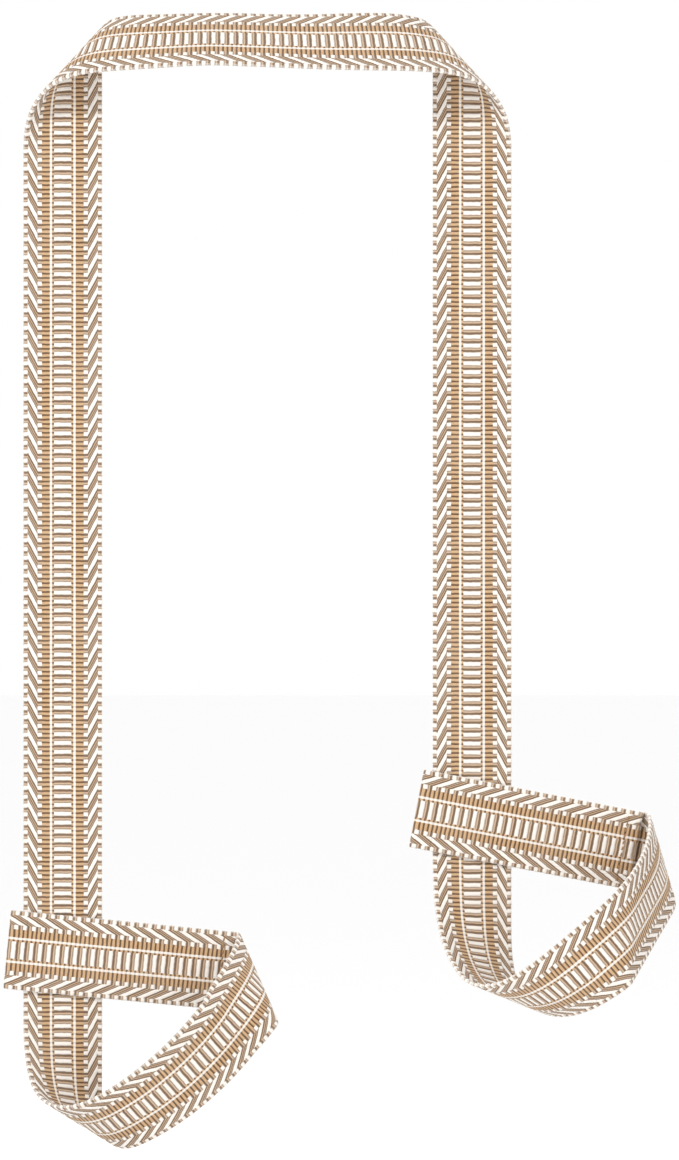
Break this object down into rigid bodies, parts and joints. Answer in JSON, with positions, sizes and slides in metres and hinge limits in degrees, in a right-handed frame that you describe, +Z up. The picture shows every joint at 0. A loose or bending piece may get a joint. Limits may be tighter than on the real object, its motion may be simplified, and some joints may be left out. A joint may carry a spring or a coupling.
{
  "type": "stretching strap",
  "caption": "Long woven webbing strap hung over its middle, each end sewn into a flat keeper that slides on its own leg, forming an adjustable noose.",
  "frame": {"origin": "on the underside of the crown, midway between the two legs, where the strap hangs", "axes": "+X to the right along the crown, +Y to the back, +Z up along the hanging legs"},
  "size_m": [0.3256, 0.0807, 0.5487],
  "materials": {
    "webbing": "flat jacquard woven webbing in off-white and golden tan, matt",
    "thread": "tan sewing thread, matt"
  },
  "bodies": {
    "crown": {"crown_webbing": "webbing", "left_shoulder_fold": "webbing", "right_shoulder_fold": "webbing"},
    "left_leg": {"left_leg_webbing": "webbing", "left_bottom_turn": "webbing", "left_noose_webbing": "webbing"},
    "left_keeper": {"left_apex_turn": "webbing", "left_keeper_back": "webbing", "left_keeper_side": "webbing", "left_keeper_front": "webbing", "left_end_hem": "webbing", "left_keeper_stitching": "thread"},
    "right_leg": {"right_leg_webbing": "webbing", "right_bottom_turn": "webbing", "right_noose_webbing": "webbing"},
    "right_keeper": {"right_apex_turn": "webbing", "right_keeper_back": "webbing", "right_keeper_side": "webbing", "right_keeper_front": "webbing", "right_end_hem": "webbing", "right_keeper_stitching": "thread"}
  },
  "joints": [
    {"name": "left_leg_swing", "type": "hinge", "parent": "crown", "child": "left_leg", "pos_m": [-0.099, 0.0245, -0.07], "axis": [1, 0, 0], "range_deg": [-20, 20]},
    {"name": "left_keeper_slide", "type": "slide", "parent": "left_leg", "child": "left_keeper", "axis": [0, 0, 1], "range_m": [-0.008, 0.03], "deforming": ["left_noose_webbing"]},
    {"name": "right_leg_swing", "type": "hinge", "parent": "crown", "child": "right_leg", "pos_m": [0.099, 0.0245, -0.07], "axis": [1, 0, 0], "range_deg": [-20, 20]},
    {"name": "right_keeper_slide", "type": "slide", "parent": "right_leg", "child": "right_keeper", "axis": [0, 0, 1], "range_m": [-0.002, 0.03], "deforming": ["right_noose_webbing"]}
  ]
}
